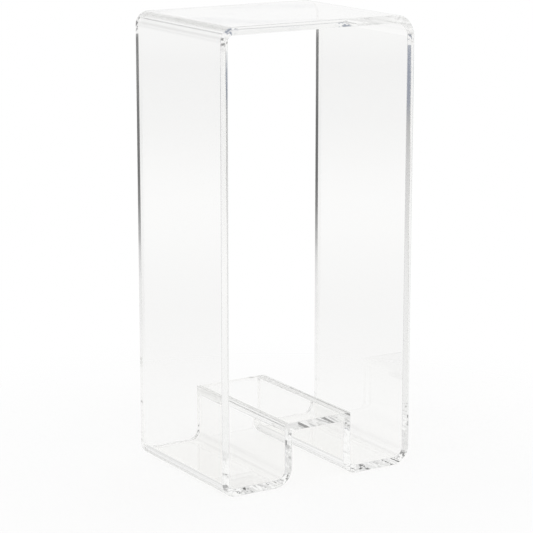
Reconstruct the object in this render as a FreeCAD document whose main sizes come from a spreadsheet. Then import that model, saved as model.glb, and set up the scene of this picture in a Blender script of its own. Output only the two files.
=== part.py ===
import FreeCAD, Part
import math
import os
import Sketcher

# Clear acrylic bible stand, made of two pieces of the same sheet:
#   bent_sheet    one long strip, heat-bent six times: a flat top, two tall sides, a foot flange turned
#                 inwards under each side, and a short lip turned up at the end of each flange
#   bridge_plate  a flat square-edged plate solvent-welded across the tops of the two lips
# Under the bridge is a channel open at the front, the back and the bottom. Between each lip and the
# side beside it is a trough, open at the front and the back.
#
# Frame: +Z up, X across the width, the front towards -Y. The origin is at the middle of the
# footprint, on the surface that the stand rests on. Millimetres.

doc = FreeCAD.newDocument("bible_stand")

# ---------------------------------------------------------------- driving sizes

SIZES = [
    # alias, value in mm, what it is
    ("overall_height", 711.0, "28 in, floor to the top face"),
    ("overall_width", 343.0, "13 1/2 in, across the two sides"),
    ("overall_depth", 254.0, "10 in, the strip's own width"),
    ("sheet_thickness", 12.7, "1/2 in sheet, for both pieces"),
    ("bridge_width", 120.0, "plate's width, flush with the lips' trough faces"),
    ("bridge_top_height", 100.0, "floor to the plate's upper face"),
    ("bend_top_left", 21.0, "outer radii: each bend is made by hand over a"),
    ("bend_top_right", 34.0, "strip heater, so no two of them are quite alike"),
    ("bend_foot_left", 23.0, ""),
    ("bend_foot_right", 29.0, ""),
    ("bend_lip_left", 28.0, ""),
    ("bend_lip_right", 24.0, ""),
    ("edge_easing", 0.5, "chamfer that takes the sharpness off the sawn edges"),
]

sheet = doc.addObject("Spreadsheet::Sheet", "Sizes")
for row, (alias, value, note) in enumerate(SIZES, start=1):
    sheet.set(f"A{row}", alias)
    sheet.set(f"B{row}", str(value))
    sheet.set(f"C{row}", note)
    sheet.setAlias(f"B{row}", alias)
doc.recompute()

# A sketch's names for a curve's points, and for its own origin.
START = 1
END = 2
CENTRE = 3
ORIGIN = (-1, 1)

# Two places nearer than this, in mm, are the same.
NEARLY = 1e-6


# ---------------------------------------------------------------- helpers

def new_body(label):
    """A body whose label names its node."""
    body = doc.addObject("PartDesign::Body", label)
    body.Label = label
    return body


def new_sketch(body, name, plane_role):
    """A sketch lying on one of the body's own origin planes."""
    sketch = body.newObject("Sketcher::SketchObject", name)
    planes = [feature for feature in body.Origin.OriginFeatures if feature.Role == plane_role]
    sketch.AttachmentSupport = [(planes[0], "")]
    sketch.MapMode = "FlatFace"
    return sketch


def add_line(sketch, start, end):
    """One straight edge, held horizontal or vertical. Returns its index."""
    line = sketch.addGeometry(Part.LineSegment(start, end), False)
    level = abs(end.y - start.y) < abs(end.x - start.x)
    sketch.addConstraint(Sketcher.Constraint("Horizontal" if level else "Vertical", line))
    return line


def add_size(sketch, kind, name, expression, *places):
    """A named dimension bound to the size sheet."""
    value = float(doc.Sizes.evalExpression(expression))
    index = sketch.addConstraint(Sketcher.Constraint(kind, *places, value))
    sketch.renameConstraint(index, name)
    sketch.setExpression(f"Constraints.{name}", expression)


def rounded_chain(sketch, corners, radii):
    """Straight legs through the corners, each turning clockwise through a tangent 90 degree arc.

    Returns the indices of the legs and of the arcs, in order.
    """
    headings = [(after - before).normalize() for before, after in zip(corners, corners[1:])]
    trims = [0.0] + list(radii) + [0.0]
    legs = []
    for number, heading in enumerate(headings):
        leg_start = corners[number] + heading * trims[number]
        leg_end = corners[number + 1] - heading * trims[number + 1]
        legs.append(add_line(sketch, leg_start, leg_end))
    arcs = []
    for number, radius in enumerate(radii):
        arriving = headings[number]
        leaving = headings[number + 1]
        centre = corners[number + 1] - arriving * radius + leaving * radius
        first_angle = math.atan2(arriving.y, arriving.x)
        circle = Part.Circle(centre, FreeCAD.Vector(0, 0, 1), radius)
        arc = sketch.addGeometry(Part.ArcOfCircle(circle, first_angle, first_angle + math.pi / 2), False)
        sketch.addConstraint(Sketcher.Constraint("Tangent", legs[number], END, arc, END))
        sketch.addConstraint(Sketcher.Constraint("Tangent", arc, START, legs[number + 1], START))
        arcs.append(arc)
    return legs, arcs


def add_pad(body, sketch, name, length, symmetric):
    """The sketch extruded by a length from the size sheet."""
    pad = body.newObject("PartDesign::Pad", name)
    pad.Profile = sketch
    pad.SideType = "Symmetric" if symmetric else "One side"
    pad.setExpression("Length", length)
    doc.recompute()
    return pad


def ease_edges(body, base, edge_test):
    """A small equal chamfer on every edge of the base feature that passes the test."""
    chosen = [f"Edge{n}" for n, edge in enumerate(base.Shape.Edges, start=1) if edge_test(edge)]
    chamfer = body.newObject("PartDesign::Chamfer", "EasedEdges")
    chamfer.Base = (base, chosen)
    chamfer.setExpression("Size", "Sizes.edge_easing")
    doc.recompute()
    return chamfer


def lies_on_end_face(edge):
    """True for an edge in the front or the back face of the stand."""
    half_depth = sheet.overall_depth / 2
    box = edge.BoundBox
    flat = box.YLength < NEARLY
    return flat and abs(abs(box.YMin) - half_depth) < NEARLY


# ---------------------------------------------------------------- bent sheet

def build_bent_sheet():
    """The strip's section, drawn as its two skins, then padded through the depth."""
    body = new_body("bent_sheet")
    sketch = new_sketch(body, "StripSection", "XZ_Plane")

    half_width = sheet.overall_width / 2
    height = sheet.overall_height
    thickness = sheet.sheet_thickness
    trough_face = sheet.bridge_width / 2
    channel_face = trough_face - thickness
    lip_top = sheet.bridge_top_height - thickness
    bends = ["lip_left", "foot_left", "top_left", "top_right", "foot_right", "lip_right"]
    outer_radii = [sheet.get(f"bend_{bend}") for bend in bends]
    inner_radii = [radius - thickness for radius in outer_radii]

    def points(pairs):
        return [FreeCAD.Vector(x, z, 0) for x, z in pairs]

    # Outer skin: down the left lip's channel face, out along the floor, over the top and back.
    outer_corners = points([
        (-channel_face, lip_top), (-channel_face, 0),
        (-half_width, 0), (-half_width, height),
        (half_width, height), (half_width, 0),
        (channel_face, 0), (channel_face, lip_top),
    ])
    # Inner skin: the same path one sheet thickness inside.
    inside = half_width - thickness
    inner_corners = points([
        (-trough_face, lip_top), (-trough_face, thickness),
        (-inside, thickness), (-inside, height - thickness),
        (inside, height - thickness), (inside, thickness),
        (trough_face, thickness), (trough_face, lip_top),
    ])
    outer_legs, outer_arcs = rounded_chain(sketch, outer_corners, outer_radii)
    inner_legs, inner_arcs = rounded_chain(sketch, inner_corners, inner_radii)

    # The sheet keeps its thickness round a bend, so both skins turn about one centre.
    for outer_arc, inner_arc in zip(outer_arcs, inner_arcs):
        sketch.addConstraint(Sketcher.Constraint("Coincident", inner_arc, CENTRE, outer_arc, CENTRE))

    # Sawn ends of the strip, at the tops of the two lips.
    left_end = add_line(sketch, inner_corners[0], outer_corners[0])
    sketch.addConstraint(Sketcher.Constraint("Coincident", left_end, START, inner_legs[0], START))
    sketch.addConstraint(Sketcher.Constraint("Coincident", left_end, END, outer_legs[0], START))
    right_end = add_line(sketch, outer_corners[-1], inner_corners[-1])
    sketch.addConstraint(Sketcher.Constraint("Coincident", right_end, START, outer_legs[-1], END))
    sketch.addConstraint(Sketcher.Constraint("Coincident", right_end, END, inner_legs[-1], END))

    left_lip, left_floor, left_side, top, right_side, right_floor, right_lip = outer_legs
    for bend, arc in zip(bends, outer_arcs):
        add_size(sketch, "Radius", f"{bend}_radius", f"Sizes.bend_{bend}", arc)
    add_size(sketch, "DistanceX", "thickness", "Sizes.sheet_thickness", left_end, START, left_end, END)
    add_size(sketch, "DistanceX", "left_half", "Sizes.overall_width / 2", left_side, START, *ORIGIN)
    add_size(sketch, "DistanceX", "right_half", "Sizes.overall_width / 2", *ORIGIN, right_side, START)
    add_size(sketch, "DistanceY", "height", "Sizes.overall_height", *ORIGIN, top, START)
    channel_half = "Sizes.bridge_width / 2 - Sizes.sheet_thickness"
    add_size(sketch, "DistanceX", "left_channel_half", channel_half, left_lip, START, *ORIGIN)
    add_size(sketch, "DistanceX", "right_channel_half", channel_half, *ORIGIN, right_lip, END)
    lip_height = "Sizes.bridge_top_height - Sizes.sheet_thickness"
    add_size(sketch, "DistanceY", "left_lip_height", lip_height, *ORIGIN, left_lip, START)
    add_size(sketch, "DistanceY", "right_lip_height", lip_height, *ORIGIN, right_lip, END)
    for floor_leg in (left_floor, right_floor):
        sketch.addConstraint(Sketcher.Constraint("PointOnObject", floor_leg, START, -1))
    doc.recompute()

    pad = add_pad(body, sketch, "StripDepth", "Sizes.overall_depth", symmetric=True)
    ease_edges(body, pad, lies_on_end_face)
    return body


# ---------------------------------------------------------------- bridge plate

def build_bridge_plate():
    """A flat rectangle of the same sheet, lying on the lips' sawn ends."""
    body = new_body("bridge_plate")
    sketch = new_sketch(body, "PlateOutline", "XY_Plane")
    half_width = sheet.bridge_width / 2
    half_depth = sheet.overall_depth / 2
    corners = [
        FreeCAD.Vector(-half_width, -half_depth, 0),
        FreeCAD.Vector(half_width, -half_depth, 0),
        FreeCAD.Vector(half_width, half_depth, 0),
        FreeCAD.Vector(-half_width, half_depth, 0),
    ]
    edges = [add_line(sketch, corners[n], corners[(n + 1) % 4]) for n in range(4)]
    for number, edge in enumerate(edges):
        next_edge = edges[(number + 1) % 4]
        sketch.addConstraint(Sketcher.Constraint("Coincident", edge, END, next_edge, START))
    front, right, back, left = edges
    add_size(sketch, "DistanceX", "width", "Sizes.bridge_width", front, START, front, END)
    add_size(sketch, "DistanceY", "depth", "Sizes.overall_depth", right, START, right, END)
    add_size(sketch, "DistanceX", "left_half", "Sizes.bridge_width / 2", front, START, *ORIGIN)
    add_size(sketch, "DistanceY", "front_half", "Sizes.overall_depth / 2", front, START, *ORIGIN)
    doc.recompute()

    pad = add_pad(body, sketch, "PlateThickness", "Sizes.sheet_thickness", symmetric=False)

    def is_eased(edge):
        """Front and back outlines and the two long upper edges: the glued underside stays square."""
        on_top = edge.BoundBox.ZMin > sheet.sheet_thickness - NEARLY
        return lies_on_end_face(edge) or on_top

    ease_edges(body, pad, is_eased)
    body.setExpression("Placement.Base.z", "Sizes.bridge_top_height - Sizes.sheet_thickness")
    return body


# ---------------------------------------------------------------- build, check and write

def check_document():
    """Stops on any feature that failed to rebuild and on any under-defined sketch."""
    for item in doc.Objects:
        if "Invalid" in item.State or "Error" in item.State:
            raise RuntimeError(f"{item.Label} failed: {item.State}")
        if item.TypeId == "Sketcher::SketchObject" and not item.FullyConstrained:
            raise RuntimeError(f"{item.Label} is not fully constrained")


def write_nodes(nodes):
    """One STEP file for each piece, named after its node."""
    os.makedirs("parts", exist_ok=True)
    for node in nodes:
        shape = node.Shape
        if shape.isNull() or not shape.isValid() or len(shape.Solids) != 1:
            raise RuntimeError(f"{node.Label} is not one valid solid")
        shape.exportStep(os.path.join("parts", f"{node.Label}.step"))
        box = shape.BoundBox
        print(
            f"{node.Label}: {box.XLength:.1f} x {box.YLength:.1f} x {box.ZLength:.1f} mm, "
            f"{shape.Volume / 1000:.1f} cm3"
        )


nodes = [build_bent_sheet(), build_bridge_plate()]
doc.recompute()
check_document()
write_nodes(nodes)
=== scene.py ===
import math

import bpy
import numpy as np
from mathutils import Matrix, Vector


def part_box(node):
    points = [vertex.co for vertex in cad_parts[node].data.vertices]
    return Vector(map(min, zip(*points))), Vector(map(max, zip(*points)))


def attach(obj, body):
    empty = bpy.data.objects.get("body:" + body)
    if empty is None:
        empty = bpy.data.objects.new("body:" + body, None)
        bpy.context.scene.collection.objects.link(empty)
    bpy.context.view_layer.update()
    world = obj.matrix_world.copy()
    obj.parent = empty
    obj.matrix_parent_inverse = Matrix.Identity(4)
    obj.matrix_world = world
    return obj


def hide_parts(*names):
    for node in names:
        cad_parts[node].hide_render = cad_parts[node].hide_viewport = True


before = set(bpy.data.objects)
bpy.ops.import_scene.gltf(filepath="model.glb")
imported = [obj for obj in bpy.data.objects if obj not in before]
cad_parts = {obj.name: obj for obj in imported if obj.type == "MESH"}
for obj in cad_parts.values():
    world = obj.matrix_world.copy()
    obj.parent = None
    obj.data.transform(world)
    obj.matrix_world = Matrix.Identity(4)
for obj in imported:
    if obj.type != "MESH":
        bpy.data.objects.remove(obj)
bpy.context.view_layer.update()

# Clear acrylic bible stand: one heat-bent sheet, and one plate cemented across its two lips.
# Metres, in the CAD frame: +Z up, X across the width, the front towards -Y, the floor at Z = 0.

scene = bpy.context.scene

# ---------------------------------------------------------------- sizes, from the frame

sheet_low, sheet_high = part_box("bent_sheet")
plate_low, plate_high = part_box("bridge_plate")
HALF_WIDTH = sheet_high.x
HALF_DEPTH = sheet_high.y
HEIGHT = sheet_high.z
THICKNESS = plate_high.z - plate_low.z
LIP_TOP = plate_low.z
TROUGH_FACE = plate_high.x
CHANNEL_FACE = TROUGH_FACE - THICKNESS
# The radius that takes the sharpness off every sawn edge.
EASING = 0.0005
# Two places nearer than this are the same.
NEARLY = 1e-6

# Outer bend radii in the order that the strip takes them, from the left lip over the top.
BEND_RADII = {
    "lip_left": 0.028,
    "foot_left": 0.023,
    "top_left": 0.021,
    "top_right": 0.034,
    "foot_right": 0.029,
    "lip_right": 0.024,
}

# ---------------------------------------------------------------- mesh helpers


def cosine_steps(count):
    """Values from 0 to 1 that crowd towards both ends: (1 - cos(pi k / count)) / 2."""
    return (1 - np.cos(np.pi * np.arange(count + 1) / count)) / 2


def smooth_step(value):
    """0 below 0, 1 above 1, and 3 v^2 - 2 v^3 between."""
    value = np.clip(value, 0, 1)
    return value * value * (3 - 2 * value)


def grid_faces(rows, columns):
    """Quads of a grid whose columns close into a ring, as rows of four vertex indices."""
    row, column = np.meshgrid(np.arange(rows - 1), np.arange(columns), indexing="ij")
    here = row * columns + column
    beside = row * columns + (column + 1) % columns
    quads = np.stack([here, here + columns, beside + columns, beside], axis=-1)
    return quads.reshape(-1, 4)


def make_piece(name, points, faces, materials, face_material, along_strip=None):
    """A mesh object at the origin, smooth-shaded, with one material index per face.

    along_strip gives a UV map of that name, from two values per vertex.
    """
    mesh = bpy.data.meshes.new(name)
    mesh.from_pydata(points.tolist(), [], faces)
    for material in materials:
        mesh.materials.append(material)
    mesh.polygons.foreach_set("material_index", np.asarray(face_material, np.int32))
    mesh.polygons.foreach_set("use_smooth", np.ones(len(mesh.polygons), bool))
    if along_strip is not None:
        corner_vertex = np.empty(len(mesh.loops), np.int32)
        mesh.loops.foreach_get("vertex_index", corner_vertex)
        layer = mesh.uv_layers.new(name="along_strip")
        layer.data.foreach_set("uv", along_strip[corner_vertex].astype(np.float32).ravel())
    mesh.update()
    piece = bpy.data.objects.new(name, mesh)
    scene.collection.objects.link(piece)
    return piece


# ---------------------------------------------------------------- the bent sheet

# A piece's materials, by the kind of face they are for.
SKIN_FACE = 0
SAWN_FACE = 1
WELDED_FACE = 2

# Stations along each straight leg and round each bend.
LEG_STEPS = 22
BEND_STEPS = 36
# Points round the cut section: along a skin, along a sawn face and round an eased corner.
DEPTH_STEPS = 20
THICKNESS_STEPS = 8
CORNER_STEPS = 4
# How far inside an eased corner a skin has one more line of points, which keeps the skin flat.
SUPPORT = 0.0001
# The share of its thickness that the sheet loses in the middle of a bend.
BEND_THINNING = 0.02
# How far the squeezed inner skin spreads, and how far in from the sawn face it starts to.
SKIN_SPREAD = 0.00035
SPREAD_REACH = 0.02
# How far the marks of heating run past a bend, at the feet and at the top.
FOOT_REACH = 0.065
TOP_REACH = 0.012


def strip_path():
    """Stations along the middle of the bent sheet, seen from the front.

    The path is straight legs joined by tangent quarter circles that all turn clockwise. Each
    station has its place (x, z), its outward direction, the length run so far and how bent the
    sheet is there: sin(2 a) at the angle a round a quarter circle, and 0 on a leg.
    """
    inset = THICKNESS / 2
    outer = [
        (-CHANNEL_FACE, LIP_TOP), (-CHANNEL_FACE, 0),
        (-HALF_WIDTH, 0), (-HALF_WIDTH, HEIGHT),
        (HALF_WIDTH, HEIGHT), (HALF_WIDTH, 0),
        (CHANNEL_FACE, 0), (CHANNEL_FACE, LIP_TOP),
    ]
    outer = np.array(outer, float)
    headings = np.diff(outer, axis=0)
    headings /= np.linalg.norm(headings, axis=1)[:, None]
    outward = np.stack([-headings[:, 1], headings[:, 0]], axis=1)
    # A corner of the middle line moves in from both of its legs.
    middle = outer.copy()
    middle[0] -= outward[0] * inset
    middle[-1] -= outward[-1] * inset
    middle[1:-1] -= (outward[:-1] + outward[1:]) * inset
    radii = np.array([0.0] + [radius - inset for radius in BEND_RADII.values()] + [0.0])

    places, directions, bending = [], [], []
    for leg in range(len(headings)):
        start = middle[leg] + headings[leg] * radii[leg]
        end = middle[leg + 1] - headings[leg] * radii[leg + 1]
        steps = cosine_steps(LEG_STEPS)[:, None]
        places.append(start + (end - start) * steps)
        directions.append(np.repeat(outward[leg][None], len(steps), axis=0))
        bending.append(np.zeros(len(steps)))
        if leg + 1 < len(headings):
            radius = radii[leg + 1]
            centre = end - outward[leg] * radius
            angle = (np.arange(1, BEND_STEPS) / BEND_STEPS * math.pi / 2)[:, None]
            turned = outward[leg] * np.cos(angle) + outward[leg + 1] * np.sin(angle)
            places.append(centre + turned * radius)
            directions.append(turned)
            bending.append(np.sin(2 * angle[:, 0]))
    places = np.concatenate(places)
    directions = np.concatenate(directions)
    bending = np.concatenate(bending)
    run = np.concatenate([[0], np.cumsum(np.linalg.norm(np.diff(places, axis=0), axis=1))])
    return places, directions, run, bending


def strip_section():
    """Ring of points round the strip's cut section: a rectangle with rounded corners.

    Each point has its offset through the sheet, its offset through the depth, and the kind of the
    face after it: a polished skin, or a sawn face and its eased corners.
    """
    half_thick = THICKNESS / 2
    flat_thick = half_thick - EASING
    flat_deep = HALF_DEPTH - EASING
    support_step = SUPPORT / flat_deep / 2
    skin_steps = np.concatenate([
        [0, support_step],
        cosine_steps(DEPTH_STEPS)[1:-1],
        [1 - support_step],
    ])
    sawn_steps = cosine_steps(THICKNESS_STEPS)[:-1]
    corner = np.arange(CORNER_STEPS) / CORNER_STEPS * math.pi / 2
    through, across, kind = [], [], []
    # Sides in order: outer skin, back sawn face, inner skin, front sawn face.
    for quarter in range(4):
        turn = quarter * math.pi / 2
        is_skin = quarter % 2 == 0
        steps = skin_steps if is_skin else sawn_steps
        length = flat_deep if is_skin else flat_thick
        offset = half_thick if is_skin else HALF_DEPTH
        along = -length + 2 * length * steps
        normal = np.array([math.cos(turn), math.sin(turn)])
        tangent = np.array([-math.sin(turn), math.cos(turn)])
        flat = normal * offset + along[:, None] * tangent
        centre = normal * (offset - EASING) + tangent * length
        arc_angle = (turn + corner)[:, None]
        arc = centre + EASING * np.concatenate([np.cos(arc_angle), np.sin(arc_angle)], axis=1)
        for points, face_kind in ((flat, SKIN_FACE if is_skin else SAWN_FACE), (arc, SAWN_FACE)):
            through.append(points[:, 0])
            across.append(points[:, 1])
            kind.append(np.full(len(points), face_kind))
    return np.concatenate(through), np.concatenate(across), np.concatenate(kind)


def build_bent_sheet(skin, sawn, cement):
    """The strip's section carried along its path.

    A point is path + outward * through * (1 - thinning * bend) + Y * (across - pull). The pull
    keeps the sawn faces a little short of the full depth, all but the squeezed inner skin of a
    bend, which spreads out to it as hot acrylic does.
    """
    places, directions, run, bending = strip_path()
    through, across, kind = strip_section()
    rows, columns = len(run), len(through)
    bend = bending[:, None]
    inner_share = smooth_step(0.5 - through / THICKNESS)[None]
    near_edge = smooth_step(1 - (HALF_DEPTH - np.abs(across)) / SPREAD_REACH)[None]
    offset = through[None] * (1 - BEND_THINNING * bend)
    pull = SKIN_SPREAD * near_edge * (1 - bend * inner_share)
    points = np.empty((rows, columns, 3))
    points[..., 0] = places[:, None, 0] + directions[:, None, 0] * offset
    points[..., 1] = across[None] - np.sign(across)[None] * pull
    points[..., 2] = places[:, None, 1] + directions[:, None, 1] * offset
    faces = grid_faces(rows, columns).tolist()
    faces.append(list(range(columns)))
    faces.append([(rows - 1) * columns + column for column in range(columns)][::-1])
    kinds = np.concatenate([np.tile(kind, rows - 1), [WELDED_FACE, WELDED_FACE]])
    # The UV map holds the length run and the heat, which is 1 in a bend and fades to 0 past it.
    bend_runs = run[bending > 0]
    away = np.abs(run[:, None] - bend_runs[None]).min(axis=1)
    reach = np.where(places[:, 1] < HEIGHT / 2, FOOT_REACH, TOP_REACH)
    heat = smooth_step(1 - away / reach)
    along_strip = np.repeat(np.stack([run, heat], axis=1), columns, axis=0)
    materials = [skin, sawn, cement]
    return make_piece(
        "bent_acrylic_sheet", points.reshape(-1, 3), faces, materials, kinds, along_strip
    )


# ---------------------------------------------------------------- the bridge plate

BEVEL_SEGMENTS = 3


def build_bridge_plate(skin, sawn, cement):
    """A flat box split along the lips' channel faces, with every edge but the glued ones eased."""
    xs = np.array([-TROUGH_FACE, -CHANNEL_FACE, CHANNEL_FACE, TROUGH_FACE])
    ys = np.array([-HALF_DEPTH, HALF_DEPTH])
    zs = np.array([plate_low.z, plate_high.z])
    grid = np.stack(np.meshgrid(xs, ys, zs, indexing="ij"), axis=-1).reshape(-1, 3)

    def corner(i, j, k):
        """Index of the corner at those places of xs, ys and zs."""
        return (i * 2 + j) * 2 + k

    faces, kinds = [], []
    for i in range(3):
        # Top, underside, front and back of one of the three strips.
        faces.append([corner(i, 0, 1), corner(i + 1, 0, 1), corner(i + 1, 1, 1), corner(i, 1, 1)])
        faces.append([corner(i, 1, 0), corner(i + 1, 1, 0), corner(i + 1, 0, 0), corner(i, 0, 0)])
        faces.append([corner(i, 0, 0), corner(i + 1, 0, 0), corner(i + 1, 0, 1), corner(i, 0, 1)])
        faces.append([corner(i, 1, 1), corner(i + 1, 1, 1), corner(i + 1, 1, 0), corner(i, 1, 0)])
        under = SKIN_FACE if i == 1 else WELDED_FACE
        kinds += [SKIN_FACE, under, SAWN_FACE, SAWN_FACE]
    # The two long sides.
    faces.append([corner(0, 1, 0), corner(0, 0, 0), corner(0, 0, 1), corner(0, 1, 1)])
    faces.append([corner(3, 0, 0), corner(3, 1, 0), corner(3, 1, 1), corner(3, 0, 1)])
    kinds += [SAWN_FACE, SAWN_FACE]
    piece = make_piece("bridge_acrylic_plate", grid, faces, [skin, sawn, cement], kinds)
    ease_plate_edges(piece, grid)
    return piece


def ease_plate_edges(piece, grid):
    """Weights the outlines of the front and the back and the two long top edges, for a Bevel."""
    mesh = piece.data
    ends = np.empty(len(mesh.edges) * 2, np.int32)
    mesh.edges.foreach_get("vertices", ends)
    first, second = grid[ends[0::2]], grid[ends[1::2]]
    same = np.abs(first - second) < NEARLY
    on_end = same[:, 1]
    at_side = np.abs(first[:, 0]) > TROUGH_FACE - NEARLY
    on_top = first[:, 2] > plate_high.z - NEARLY
    outline = on_end & (~same[:, 0] | at_side)
    long_top = ~on_end & on_top & at_side
    weight = mesh.attributes.new("bevel_weight_edge", "FLOAT", "EDGE")
    weight.data.foreach_set("value", (outline | long_top).astype(np.float32))
    bevel = piece.modifiers.new("eased_edges", "BEVEL")
    bevel.limit_method = "WEIGHT"
    bevel.width = EASING
    bevel.segments = BEVEL_SEGMENTS
    bevel.harden_normals = True


# ---------------------------------------------------------------- node helpers


def node_tree(name):
    """A new material, its empty node tree and its output node."""
    material = bpy.data.materials.new(name)
    material.use_nodes = True
    tree = material.node_tree
    tree.nodes.clear()
    return material, tree, tree.nodes.new("ShaderNodeOutputMaterial")


def math_node(tree, operation, *values):
    """A Math node whose inputs are sockets or plain numbers. Returns its output."""
    node = tree.nodes.new("ShaderNodeMath")
    node.operation = operation
    for place, value in enumerate(values):
        if isinstance(value, (int, float)):
            node.inputs[place].default_value = value
        else:
            tree.links.new(value, node.inputs[place])
    return node.outputs[0]


def map_range(tree, value, low, high, to_low=0.0, to_high=1.0):
    """The value carried smoothly from one range to another, clamped."""
    node = tree.nodes.new("ShaderNodeMapRange")
    node.interpolation_type = "SMOOTHSTEP"
    tree.links.new(value, node.inputs["Value"])
    for name, number in (("From Min", low), ("From Max", high), ("To Min", to_low), ("To Max", to_high)):
        node.inputs[name].default_value = number
    return node.outputs["Result"]


def mix_shaders(tree, share, first, second):
    """The first shader where share is 0, the second where it is 1."""
    mix = tree.nodes.new("ShaderNodeMixShader")
    tree.links.new(share, mix.inputs["Fac"])
    tree.links.new(first.outputs[0], mix.inputs[1])
    tree.links.new(second.outputs[0], mix.inputs[2])
    return mix.outputs[0]


def mix_colours(tree, share, first, second):
    """The first colour where share is 0, the second where it is 1."""
    mix = tree.nodes.new("ShaderNodeMix")
    mix.data_type = "RGBA"
    tree.links.new(share, mix.inputs[0])
    # Sockets 6 and 7 are the two colours, and output 2 is the mixed one.
    for place, value in ((6, first), (7, second)):
        if isinstance(value, tuple):
            mix.inputs[place].default_value = (*value, 1)
        else:
            tree.links.new(value, mix.inputs[place])
    return mix.outputs[2]


def has_met(tree, kind):
    """1 once the light's path has met a Glossy, Diffuse or Transmission surface, and 0 before."""
    path = tree.nodes.new("ShaderNodeLightPath")
    return math_node(tree, "MINIMUM", path.outputs[f"{kind} Depth"], 1.0)


def object_noise(tree, scale, stretch=(1, 1, 1), turn=(0, 0, 0), detail=2.0):
    """Noise on object coordinates, scaled per metre and stretched along turned axes."""
    place = tree.nodes.new("ShaderNodeTexCoord")
    mapping = tree.nodes.new("ShaderNodeMapping")
    mapping.inputs["Scale"].default_value = stretch
    mapping.inputs["Rotation"].default_value = [math.radians(a) for a in turn]
    noise = tree.nodes.new("ShaderNodeTexNoise")
    noise.inputs["Scale"].default_value = scale
    noise.inputs["Detail"].default_value = detail
    tree.links.new(place.outputs["Object"], mapping.inputs["Vector"])
    tree.links.new(mapping.outputs["Vector"], noise.inputs["Vector"])
    return noise.outputs["Fac"]


def add_bump(tree, height, distance, under=None):
    """A Bump node over another normal. The distance is the height of a step of 1, in metres."""
    bump = tree.nodes.new("ShaderNodeBump")
    bump.inputs["Distance"].default_value = distance
    tree.links.new(height, bump.inputs["Height"])
    if under is not None:
        tree.links.new(under, bump.inputs["Normal"])
    return bump.outputs["Normal"]


# ---------------------------------------------------------------- materials

ACRYLIC_IOR = 1.491
SKIN_TINT = (0.984, 0.983, 0.976)
EDGE_TINT = (0.976, 0.976, 0.967)
WELD_TINT = (0.99, 0.99, 0.985)
BUBBLE_COLOUR = (0.9, 0.9, 0.88)

# Heights of the relief, in metres.
SKIN_WAVE = 0.0002
SCRATCH_DEPTH = 0.0000015
EDGE_SWELL = 0.00003
EDGE_RIPPLE = 0.0006
# The share of the ripple that a sawn face has where it was never heated.
COLD_RIPPLE = 0.005

# Roughness: the skin at its haziest, what a scratch adds, and the sawn faces from clear to hazy.
SKIN_HAZE = 0.004
SCRATCH_ROUGHNESS = 0.03
EDGE_CLEAR = 0.002
EDGE_HAZE = 0.01
BUBBLE_ROUGHNESS = 0.2

# How many times thinner than long a scratch's noise is, and how near its crest the scratch ends.
SCRATCH_STRETCH = 24
SCRATCH_WIDTH = 0.006
# The weld's bubbles: cells per metre, and the largest bubble as a distance inside its cell.
BUBBLE_SCALE = 260.0
BUBBLE_SIZE = 0.32


def acrylic_shader(tree, tint):
    """Principled shader set up as clear solid acrylic."""
    shader = tree.nodes.new("ShaderNodeBsdfPrincipled")
    shader.inputs["Base Color"].default_value = (*tint, 1)
    shader.inputs["Transmission Weight"].default_value = 1.0
    shader.inputs["IOR"].default_value = ACRYLIC_IOR
    return shader


def hairlines(tree, scale, turn):
    """Sparse fine scratches that lie along one direction: the crest of a long thin noise."""
    stretch = (1, SCRATCH_STRETCH, SCRATCH_STRETCH)
    field = object_noise(tree, scale, stretch=stretch, turn=turn, detail=1.0)
    crest = math_node(tree, "ABSOLUTE", math_node(tree, "SUBTRACT", field, 0.5))
    return map_range(tree, crest, 0.0, SCRATCH_WIDTH, 1.0, 0.0)


def polished_skin_material():
    """Cast sheet's own polished skin: a long lazy waviness, hairline scratches and faint hand haze."""
    material, tree, output = node_tree("polished_acrylic_skin")
    shader = acrylic_shader(tree, SKIN_TINT)
    wave = object_noise(tree, scale=7.0, detail=0.0)
    haze = object_noise(tree, scale=22.0, detail=4.0)
    rising = hairlines(tree, scale=9.0, turn=(20, 35, 65))
    falling = hairlines(tree, scale=7.0, turn=(-40, 15, 10))
    scratches = math_node(tree, "MAXIMUM", rising, falling)
    # Scratches show only where hands have left a haze.
    worn = math_node(tree, "MULTIPLY", scratches, map_range(tree, haze, 0.5, 0.62))
    hazy = map_range(tree, haze, 0.45, 0.75, 0.0, SKIN_HAZE)
    roughness = math_node(tree, "MULTIPLY_ADD", worn, SCRATCH_ROUGHNESS, hazy)
    tree.links.new(roughness, shader.inputs["Roughness"])
    normal = add_bump(tree, wave, SKIN_WAVE)
    normal = add_bump(tree, worn, SCRATCH_DEPTH, under=normal)
    tree.links.new(normal, shader.inputs["Normal"])
    tree.links.new(shader.outputs[0], output.inputs["Surface"])
    return material


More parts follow.
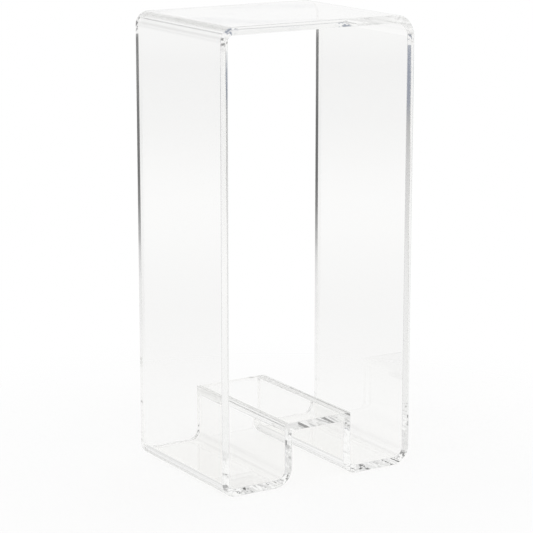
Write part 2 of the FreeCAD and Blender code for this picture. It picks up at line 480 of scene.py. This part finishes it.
def sawn_edge_material():
    """Cut face, flame polished: nearly flat, but rippled where the sheet was heated to bend."""
    material, tree, output = node_tree("flame_polished_edge")
    shader = acrylic_shader(tree, EDGE_TINT)
    strip = tree.nodes.new("ShaderNodeUVMap")
    strip.uv_map = "along_strip"
    parts = tree.nodes.new("ShaderNodeSeparateXYZ")
    tree.links.new(strip.outputs["UV"], parts.inputs[0])
    heat = parts.outputs["Y"]
    swell = object_noise(tree, scale=38.0, detail=0.0)
    ripple = object_noise(tree, scale=140.0, detail=1.0)
    haze = object_noise(tree, scale=300.0, detail=3.0)
    roughness = map_range(tree, haze, 0.35, 0.8, EDGE_CLEAR, EDGE_HAZE)
    tree.links.new(roughness, shader.inputs["Roughness"])
    ripple_share = math_node(tree, "MULTIPLY_ADD", heat, 1 - COLD_RIPPLE, COLD_RIPPLE)
    worked = math_node(tree, "MULTIPLY", ripple, ripple_share)
    normal = add_bump(tree, swell, EDGE_SWELL)
    normal = add_bump(tree, worked, EDGE_RIPPLE, under=normal)
    tree.links.new(normal, shader.inputs["Normal"])
    tree.links.new(shader.outputs[0], output.inputs["Surface"])
    return material


def cemented_face_material():
    """Solvent weld: the two faces have melted together, so light crosses it but for small bubbles."""
    material, tree, output = node_tree("cemented_face")
    clear = tree.nodes.new("ShaderNodeBsdfTransparent")
    clear.inputs["Color"].default_value = (*WELD_TINT, 1)
    bubble = tree.nodes.new("ShaderNodeBsdfPrincipled")
    bubble.inputs["Base Color"].default_value = (*BUBBLE_COLOUR, 1)
    bubble.inputs["Roughness"].default_value = BUBBLE_ROUGHNESS
    place = tree.nodes.new("ShaderNodeTexCoord")
    cells = tree.nodes.new("ShaderNodeTexVoronoi")
    cells.inputs["Scale"].default_value = BUBBLE_SCALE
    tree.links.new(place.outputs["Object"], cells.inputs["Vector"])
    patch = object_noise(tree, scale=60.0)
    size = map_range(tree, patch, 0.45, 0.8, 0.0, BUBBLE_SIZE)
    inside = math_node(tree, "LESS_THAN", cells.outputs["Distance"], size)
    surface = mix_shaders(tree, inside, clear, bubble)
    tree.links.new(surface, output.inputs["Surface"])
    return material


# ---------------------------------------------------------------- the stand

skin = polished_skin_material()
sawn = sawn_edge_material()
cement = cemented_face_material()

bent_sheet = build_bent_sheet(skin, sawn, cement)
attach(bent_sheet, "root")
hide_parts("bent_sheet")

bridge_plate = build_bridge_plate(skin, sawn, cement)
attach(bridge_plate, "root")
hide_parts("bridge_plate")

# ---------------------------------------------------------------- floor

# The paper is solid out to one radius and has faded away at the other.
FLOOR_SOLID = 0.22
FLOOR_FADED = 0.833
FLOOR_RADIUS = 0.85
FLOOR_CENTRE = 0.02
FLOOR_RINGS = 24
FLOOR_SIDES = 96
# Just under the feet, so that the two surfaces don't share a plane.
FLOOR_LEVEL = -0.0003
PAPER_DARK = 0.968
PAPER_PALE = 0.978


def floor_material():
    """Matt pale paper, faintly mottled, that fades out and isn't mirrored in the acrylic."""
    material, tree, output = node_tree("pale_paper_floor")
    paper = tree.nodes.new("ShaderNodeBsdfDiffuse")
    mottle = object_noise(tree, scale=3.0)
    shade = tree.nodes.new("ShaderNodeCombineColor")
    level = map_range(tree, mottle, 0.3, 0.7, PAPER_DARK, PAPER_PALE)
    for channel in range(3):
        tree.links.new(level, shade.inputs[channel])
    tree.links.new(shade.outputs[0], paper.inputs["Color"])
    place = tree.nodes.new("ShaderNodeTexCoord")
    distance = tree.nodes.new("ShaderNodeVectorMath")
    distance.operation = "LENGTH"
    tree.links.new(place.outputs["Object"], distance.inputs[0])
    fade = map_range(tree, distance.outputs["Value"], FLOOR_SOLID, FLOOR_FADED)
    hidden = math_node(tree, "MAXIMUM", fade, has_met(tree, "Glossy"))
    clear = tree.nodes.new("ShaderNodeBsdfTransparent")
    surface = mix_shaders(tree, hidden, paper, clear)
    tree.links.new(surface, output.inputs["Surface"])
    return material


def build_floor():
    """A disc of rings: radius r times (cos a, sin a)."""
    rings = np.linspace(FLOOR_CENTRE, FLOOR_RADIUS, FLOOR_RINGS)
    angle = np.arange(FLOOR_SIDES) / FLOOR_SIDES * 2 * math.pi
    points = np.zeros((FLOOR_RINGS, FLOOR_SIDES, 3))
    points[..., 0] = rings[:, None] * np.cos(angle)
    points[..., 1] = rings[:, None] * np.sin(angle)
    points[..., 2] = FLOOR_LEVEL
    faces = grid_faces(FLOOR_RINGS, FLOOR_SIDES).tolist()
    faces.append(list(range(FLOOR_SIDES)))
    face_material = np.zeros(len(faces))
    return make_piece("floor", points.reshape(-1, 3), faces, [floor_material()], face_material)


floor = build_floor()

# ---------------------------------------------------------------- studio

# The room is seen only in mirrored light: soft boxes with dark flags between them, which draw the
# lines along the acrylic's edges. Each stop is an elevation in degrees, and a grey level or a colour.
DUSK_BLUE = (0.31, 0.34, 0.41)
BACK_RIGHT_ROOM = [
    (-90, 1.0), (-36, 1.0), (-34, 0.85), (-30.5, 0.85), (-29, 1.0), (-21, 1.0), (-20, 0.4),
    (-18.2, 0.4), (-17.2, 0.88), (-13, 0.84), (-10.5, 0.72), (-9, 0.5), (-8.3, DUSK_BLUE),
    (-7.3, DUSK_BLUE), (-7.05, 0.97), (90, 1.0),
]
BACK_LEFT_ROOM = [
    (-90, 0.9), (-36, 0.9), (-34, 0.75), (-30.5, 0.75), (-29, 0.9), (-18, 0.9), (-12, 1.0),
    (-7, 0.97), (-6.2, 0.8), (-5.4, 0.3), (15, 0.3), (16, 0.8), (17.8, 0.8), (18.6, 0.55),
    (24, 0.55), (28, 0.8), (90, 0.95),
]
FRONT_RIGHT_ROOM = [
    (-90, 1.0), (-16, 0.95), (-13, 0.85), (-12, 0.38), (-11, 0.09), (-6.9, 0.09), (-6.6, 0.9),
    (90, 1.0),
]
FRONT_LEFT_ROOM = [(-90, 0.97), (-15.5, 0.97), (-14, 0.2), (-9, 0.2), (-8, 0.97), (90, 0.97)]
# The room at both sides: boxes and flags by turns.
SIDE_ROOM = [
    (-90, 0.35), (-62, 0.35), (-56, 0.95), (-34, 0.95), (-30, 0.2), (-8, 0.2), (-4, 0.97),
    (18, 0.97), (24, 0.25), (40, 0.25), (46, 0.97), (72, 0.97), (78, 0.3), (90, 0.3),
]
# What is seen straight through the acrylic: a wall a little off white.
BACKDROP = [
    (-90, 0.93), (-17, 0.925), (-15, 0.94), (-13.8, 0.93), (-12.5, 0.955), (-11.5, 0.98),
    (-10.7, 0.965), (-9.2, 0.915), (-7.7, 0.9), (-6.2, 0.98), (90, 1.0),
]
WHITE = (1.0, 1.0, 1.0)

# From here on, places in the room are parts of a unit direction: across, back or up.
# The four rooms blend into each other this far to both sides of the middle.
ROOM_BLEND = 0.15
# The room at both sides begins and is complete as the part towards the back or front falls.
SIDE_START = 0.5
SIDE_END = 0.36
# A dark gap between the boxes overhead: its place from left to right, where it ends at both
# sides, where its dark middle ends, and how high it begins and is complete.
GAP_MIDDLE = -0.08
GAP_HALF_WIDTH = 0.09
GAP_DARK_HALF = GAP_HALF_WIDTH * 0.6
GAP_START = 0.35
GAP_END = 0.4
GAP_COLOUR = (0.04, 0.04, 0.04)

# Light may be turned back inside the clear sheet a great many times before it leaves.
LIGHT_BOUNCES = 256


def elevation_ramp(tree, elevation, stops):
    """Brightness by elevation: a ramp through the stops."""
    ramp = tree.nodes.new("ShaderNodeValToRGB")
    tree.links.new(elevation, ramp.inputs["Fac"])
    elements = ramp.color_ramp.elements
    while len(elements) < len(stops):
        elements.new(0.5)
    for element, (degrees, level) in zip(elements, stops):
        element.position = degrees / 180 + 0.5
        element.color = (*level, 1) if isinstance(level, tuple) else (level, level, level, 1)
    return ramp.outputs["Color"]


def room_colour(tree, elevation, across, back, up):
    """The room by direction: its four quarters, then the gap overhead, then both sides."""
    rooms = [BACK_RIGHT_ROOM, BACK_LEFT_ROOM, FRONT_RIGHT_ROOM, FRONT_LEFT_ROOM, SIDE_ROOM]
    back_right, back_left, front_right, front_left, beside = [
        elevation_ramp(tree, elevation, stops) for stops in rooms
    ]
    left = map_range(tree, across, ROOM_BLEND, -ROOM_BLEND)
    front = map_range(tree, back, ROOM_BLEND, -ROOM_BLEND)
    behind = mix_colours(tree, left, back_right, back_left)
    before = mix_colours(tree, left, front_right, front_left)
    room = mix_colours(tree, front, behind, before)
    from_gap = math_node(tree, "ABSOLUTE", math_node(tree, "SUBTRACT", across, GAP_MIDDLE))
    in_gap = map_range(tree, from_gap, GAP_HALF_WIDTH, GAP_DARK_HALF)
    overhead = map_range(tree, up, GAP_START, GAP_END)
    room = mix_colours(tree, math_node(tree, "MULTIPLY", in_gap, overhead), room, GAP_COLOUR)
    sideways = map_range(tree, math_node(tree, "ABSOLUTE", back), SIDE_START, SIDE_END)
    return mix_colours(tree, sideways, room, beside)


def build_studio():
    """White light all round, but mirrored light sees the room and refracted light the backdrop."""
    world = bpy.data.worlds.new("studio")
    scene.world = world
    world.use_nodes = True
    tree = world.node_tree
    tree.nodes.clear()
    output = tree.nodes.new("ShaderNodeOutputWorld")
    background = tree.nodes.new("ShaderNodeBackground")
    place = tree.nodes.new("ShaderNodeTexCoord")
    direction = tree.nodes.new("ShaderNodeSeparateXYZ")
    tree.links.new(place.outputs["Generated"], direction.inputs[0])
    across, back, up = direction.outputs
    # Elevation as a share: 0 straight down, 0.5 level and 1 straight up.
    elevation = math_node(tree, "ARCSINE", up)
    elevation = math_node(tree, "MULTIPLY_ADD", elevation, 1 / math.pi, 0.5)
    room = room_colour(tree, elevation, across, back, up)
    backdrop = elevation_ramp(tree, elevation, BACKDROP)
    # A path that has scattered off the matt floor sees white, so the floor is lit evenly.
    not_scattered = math_node(tree, "SUBTRACT", 1.0, has_met(tree, "Diffuse"))
    sees_backdrop = math_node(tree, "MULTIPLY", has_met(tree, "Transmission"), not_scattered)
    sees_room = math_node(tree, "MULTIPLY", has_met(tree, "Glossy"), not_scattered)
    colour = mix_colours(tree, sees_backdrop, WHITE, backdrop)
    colour = mix_colours(tree, sees_room, colour, room)
    tree.links.new(colour, background.inputs["Color"])
    tree.links.new(background.outputs[0], output.inputs["Surface"])
    world.cycles.sampling_method = "NONE"


build_studio()
scene.view_settings.view_transform = "Standard"
scene.view_settings.look = "None"
scene.cycles.max_bounces = LIGHT_BOUNCES
scene.cycles.transmission_bounces = LIGHT_BOUNCES
scene.cycles.glossy_bounces = LIGHT_BOUNCES
scene.cycles.transparent_max_bounces = LIGHT_BOUNCES
# No softening of later bounces, because the edges' dark lines are seen only after many.
scene.cycles.blur_glossy = 0.0

# ---------------------------------------------------------------- camera

TARGET = Vector((-0.0149, -0.0013, 0.3162))
DISTANCE = 3.469
AZIMUTH = math.radians(-31.95)
ELEVATION = math.radians(12.92)
LENS_MM = 150.4
SENSOR_MM = 36.0
NEAREST = 0.1
FARTHEST = 50.0

camera_data = bpy.data.cameras.new("camera")
camera_data.lens = LENS_MM
camera_data.sensor_width = SENSOR_MM
camera_data.clip_start = NEAREST
camera_data.clip_end = FARTHEST
camera = bpy.data.objects.new("camera", camera_data)
scene.collection.objects.link(camera)
to_camera = Vector((
    math.sin(AZIMUTH) * math.cos(ELEVATION),
    -math.cos(AZIMUTH) * math.cos(ELEVATION),
    math.sin(ELEVATION),
))
camera.location = TARGET + to_camera * DISTANCE
camera.rotation_mode = "QUATERNION"
camera.rotation_quaternion = (-to_camera).to_track_quat("-Z", "Y")
scene.camera = camera
